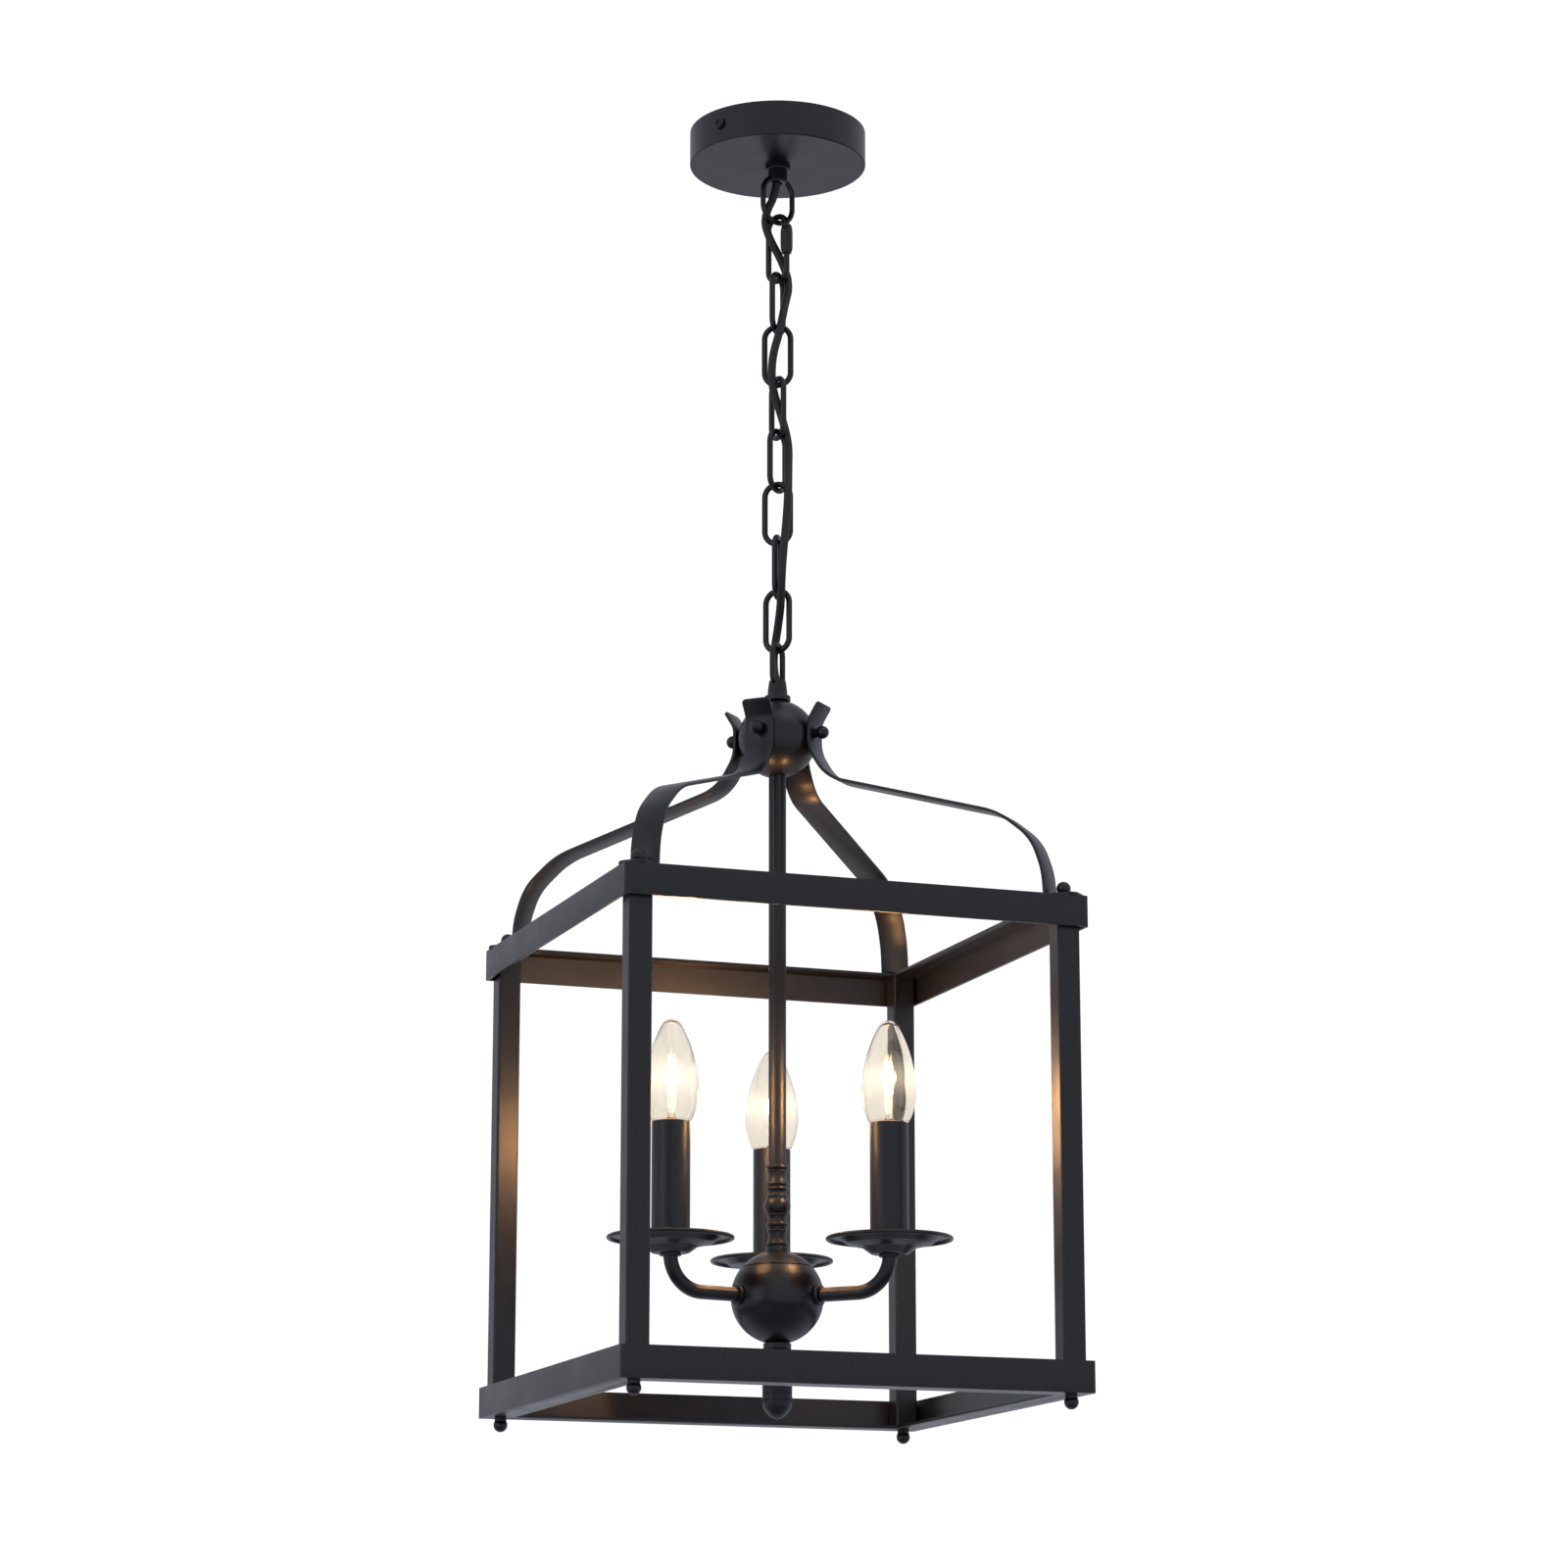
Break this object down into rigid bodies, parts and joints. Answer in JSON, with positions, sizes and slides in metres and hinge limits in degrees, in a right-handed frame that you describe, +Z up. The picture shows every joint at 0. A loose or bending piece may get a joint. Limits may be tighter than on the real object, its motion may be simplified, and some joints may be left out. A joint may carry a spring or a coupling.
{
  "type": "hanging lantern",
  "caption": "Open square cage lantern in sandy black metal on a chain from a round ceiling canopy, with candle lamps on curved arms around a ball hub.",
  "frame": {"origin": "centre of the ceiling bar's upper face, on the ceiling plane, above the middle of the canopy", "axes": "+Z up towards the ceiling; the sides of the square cage run along X and Y; the lantern hangs along -Z"},
  "size_m": [0.31, 0.31, 0.876],
  "materials": {
    "black_coat": "fine sandy satin powder coat",
    "zinc_steel": "zinc plated",
    "flex_sheath": "matte",
    "connector_plastic": "moulded",
    "lead_insulation": "smooth",
    "holder_plastic": "moulded",
    "bulb_glass": "clear",
    "bulb_cap": "nickel plated"
  },
  "bodies": {
    "ceiling_end": {"ceiling_bar": "zinc_steel", "tab_bar": "zinc_steel", "bracket_screws": "black_coat", "canopy": "black_coat", "canopy_nipple": "zinc_steel", "nipple_nut": "zinc_steel", "canopy_collar": "black_coat", "canopy_loop": "black_coat", "wire_nuts": "connector_plastic", "canopy_leads": "lead_insulation", "supply_flex": "flex_sheath"},
    "quick_link": {"quick_link": "black_coat"},
    "quick_sleeve": {"quick_link_sleeve": "black_coat"},
    "link_1": {"chain_link_1": "black_coat"},
    "link_2": {"chain_link_2": "black_coat"},
    "link_3": {"chain_link_3": "black_coat"},
    "link_4": {"chain_link_4": "black_coat"},
    "link_5": {"chain_link_5": "black_coat"},
    "link_6": {"chain_link_6": "black_coat"},
    "link_7": {"chain_link_7": "black_coat"},
    "lantern": {"lantern_loop": "black_coat", "loop_washer": "black_coat", "threaded_pipe": "zinc_steel", "top_ball": "black_coat", "strap_1": "black_coat", "strap_2": "black_coat", "strap_3": "black_coat", "strap_4": "black_coat", "strap_screws": "black_coat", "top_ball_nuts": "black_coat", "top_ring": "black_coat", "bottom_ring": "black_coat", "post_1": "black_coat", "post_2": "black_coat", "post_3": "black_coat", "post_4": "black_coat", "post_end_plugs": "zinc_steel", "bottom_ball_nuts": "black_coat", "centre_rod": "black_coat", "column": "black_coat", "hub_cap": "black_coat", "hub_body": "black_coat", "arm_collars": "black_coat", "candle_sleeves": "black_coat", "holder_stems": "black_coat", "lamp_holders": "holder_plastic", "arm_1": "black_coat", "arm_2": "black_coat", "arm_3": "black_coat", "drip_pan_1": "black_coat", "drip_pan_2": "black_coat", "drip_pan_3": "black_coat", "finial": "black_coat", "inner_wires": "lead_insulation"},
    "bulb_1": {"bulb_glass_1": "bulb_glass", "bulb_base_1": "bulb_cap"},
    "bulb_2": {"bulb_glass_2": "bulb_glass", "bulb_base_2": "bulb_cap"},
    "bulb_3": {"bulb_glass_3": "bulb_glass", "bulb_base_3": "bulb_cap"}
  },
  "joints": [
    {"name": "quick_link_swing", "type": "hinge", "parent": "ceiling_end", "child": "quick_link", "pos_m": [0, 0, -0.06465], "axis": [0.9659, 0.2588, 0], "range_deg": [-15, 15], "deforming": ["supply_flex"]},
    {"name": "quick_sleeve_travel", "type": "slide", "parent": "quick_link", "child": "quick_sleeve", "axis": [0, 0, -1], "range_m": [0, 0.009]},
    {"name": "link_1_swing", "type": "hinge", "parent": "quick_link", "child": "link_1", "pos_m": [0, 0, -0.1066], "axis": [0.5, -0.866, 0], "range_deg": [-15, 15]},
    {"name": "link_2_swing", "type": "hinge", "parent": "link_1", "child": "link_2", "pos_m": [0, 0, -0.1438], "axis": [0.6947, 0.7193, 0], "range_deg": [-15, 15]},
    {"name": "link_3_swing", "type": "hinge", "parent": "link_2", "child": "link_3", "pos_m": [0, 0, -0.181], "axis": [0.9063, -0.4226, 0], "range_deg": [-15, 15]},
    {"name": "link_4_swing", "type": "hinge", "parent": "link_3", "child": "link_4", "pos_m": [0, 0, -0.2182], "axis": [0.1219, -0.9925, 0], "range_deg": [-15, 15]},
    {"name": "link_5_swing", "type": "hinge", "parent": "link_4", "child": "link_5", "pos_m": [0, 0, -0.2554], "axis": [0.8192, 0.5736, 0], "range_deg": [-15, 15]},
    {"name": "link_6_swing", "type": "hinge", "parent": "link_5", "child": "link_6", "pos_m": [0, 0, -0.2926], "axis": [0.8192, -0.5736, 0], "range_deg": [-15, 15]},
    {"name": "link_7_swing", "type": "hinge", "parent": "link_6", "child": "link_7", "pos_m": [0, 0, -0.3298], "axis": [0.5299, 0.848, 0], "range_deg": [-15, 15]},
    {"name": "lantern_swing", "type": "hinge", "parent": "link_7", "child": "lantern", "pos_m": [0, 0, -0.367], "axis": [0.6691, -0.7431, 0], "range_deg": [-15, 15]},
    {"name": "bulb_1_unscrew", "type": "slide", "parent": "lantern", "child": "bulb_1", "axis": [0, 0, 1], "range_m": [0, 0.03]},
    {"name": "bulb_2_unscrew", "type": "slide", "parent": "lantern", "child": "bulb_2", "axis": [0, 0, 1], "range_m": [0, 0.03]},
    {"name": "bulb_3_unscrew", "type": "slide", "parent": "lantern", "child": "bulb_3", "axis": [0, 0, 1], "range_m": [0, 0.03]}
  ]
}
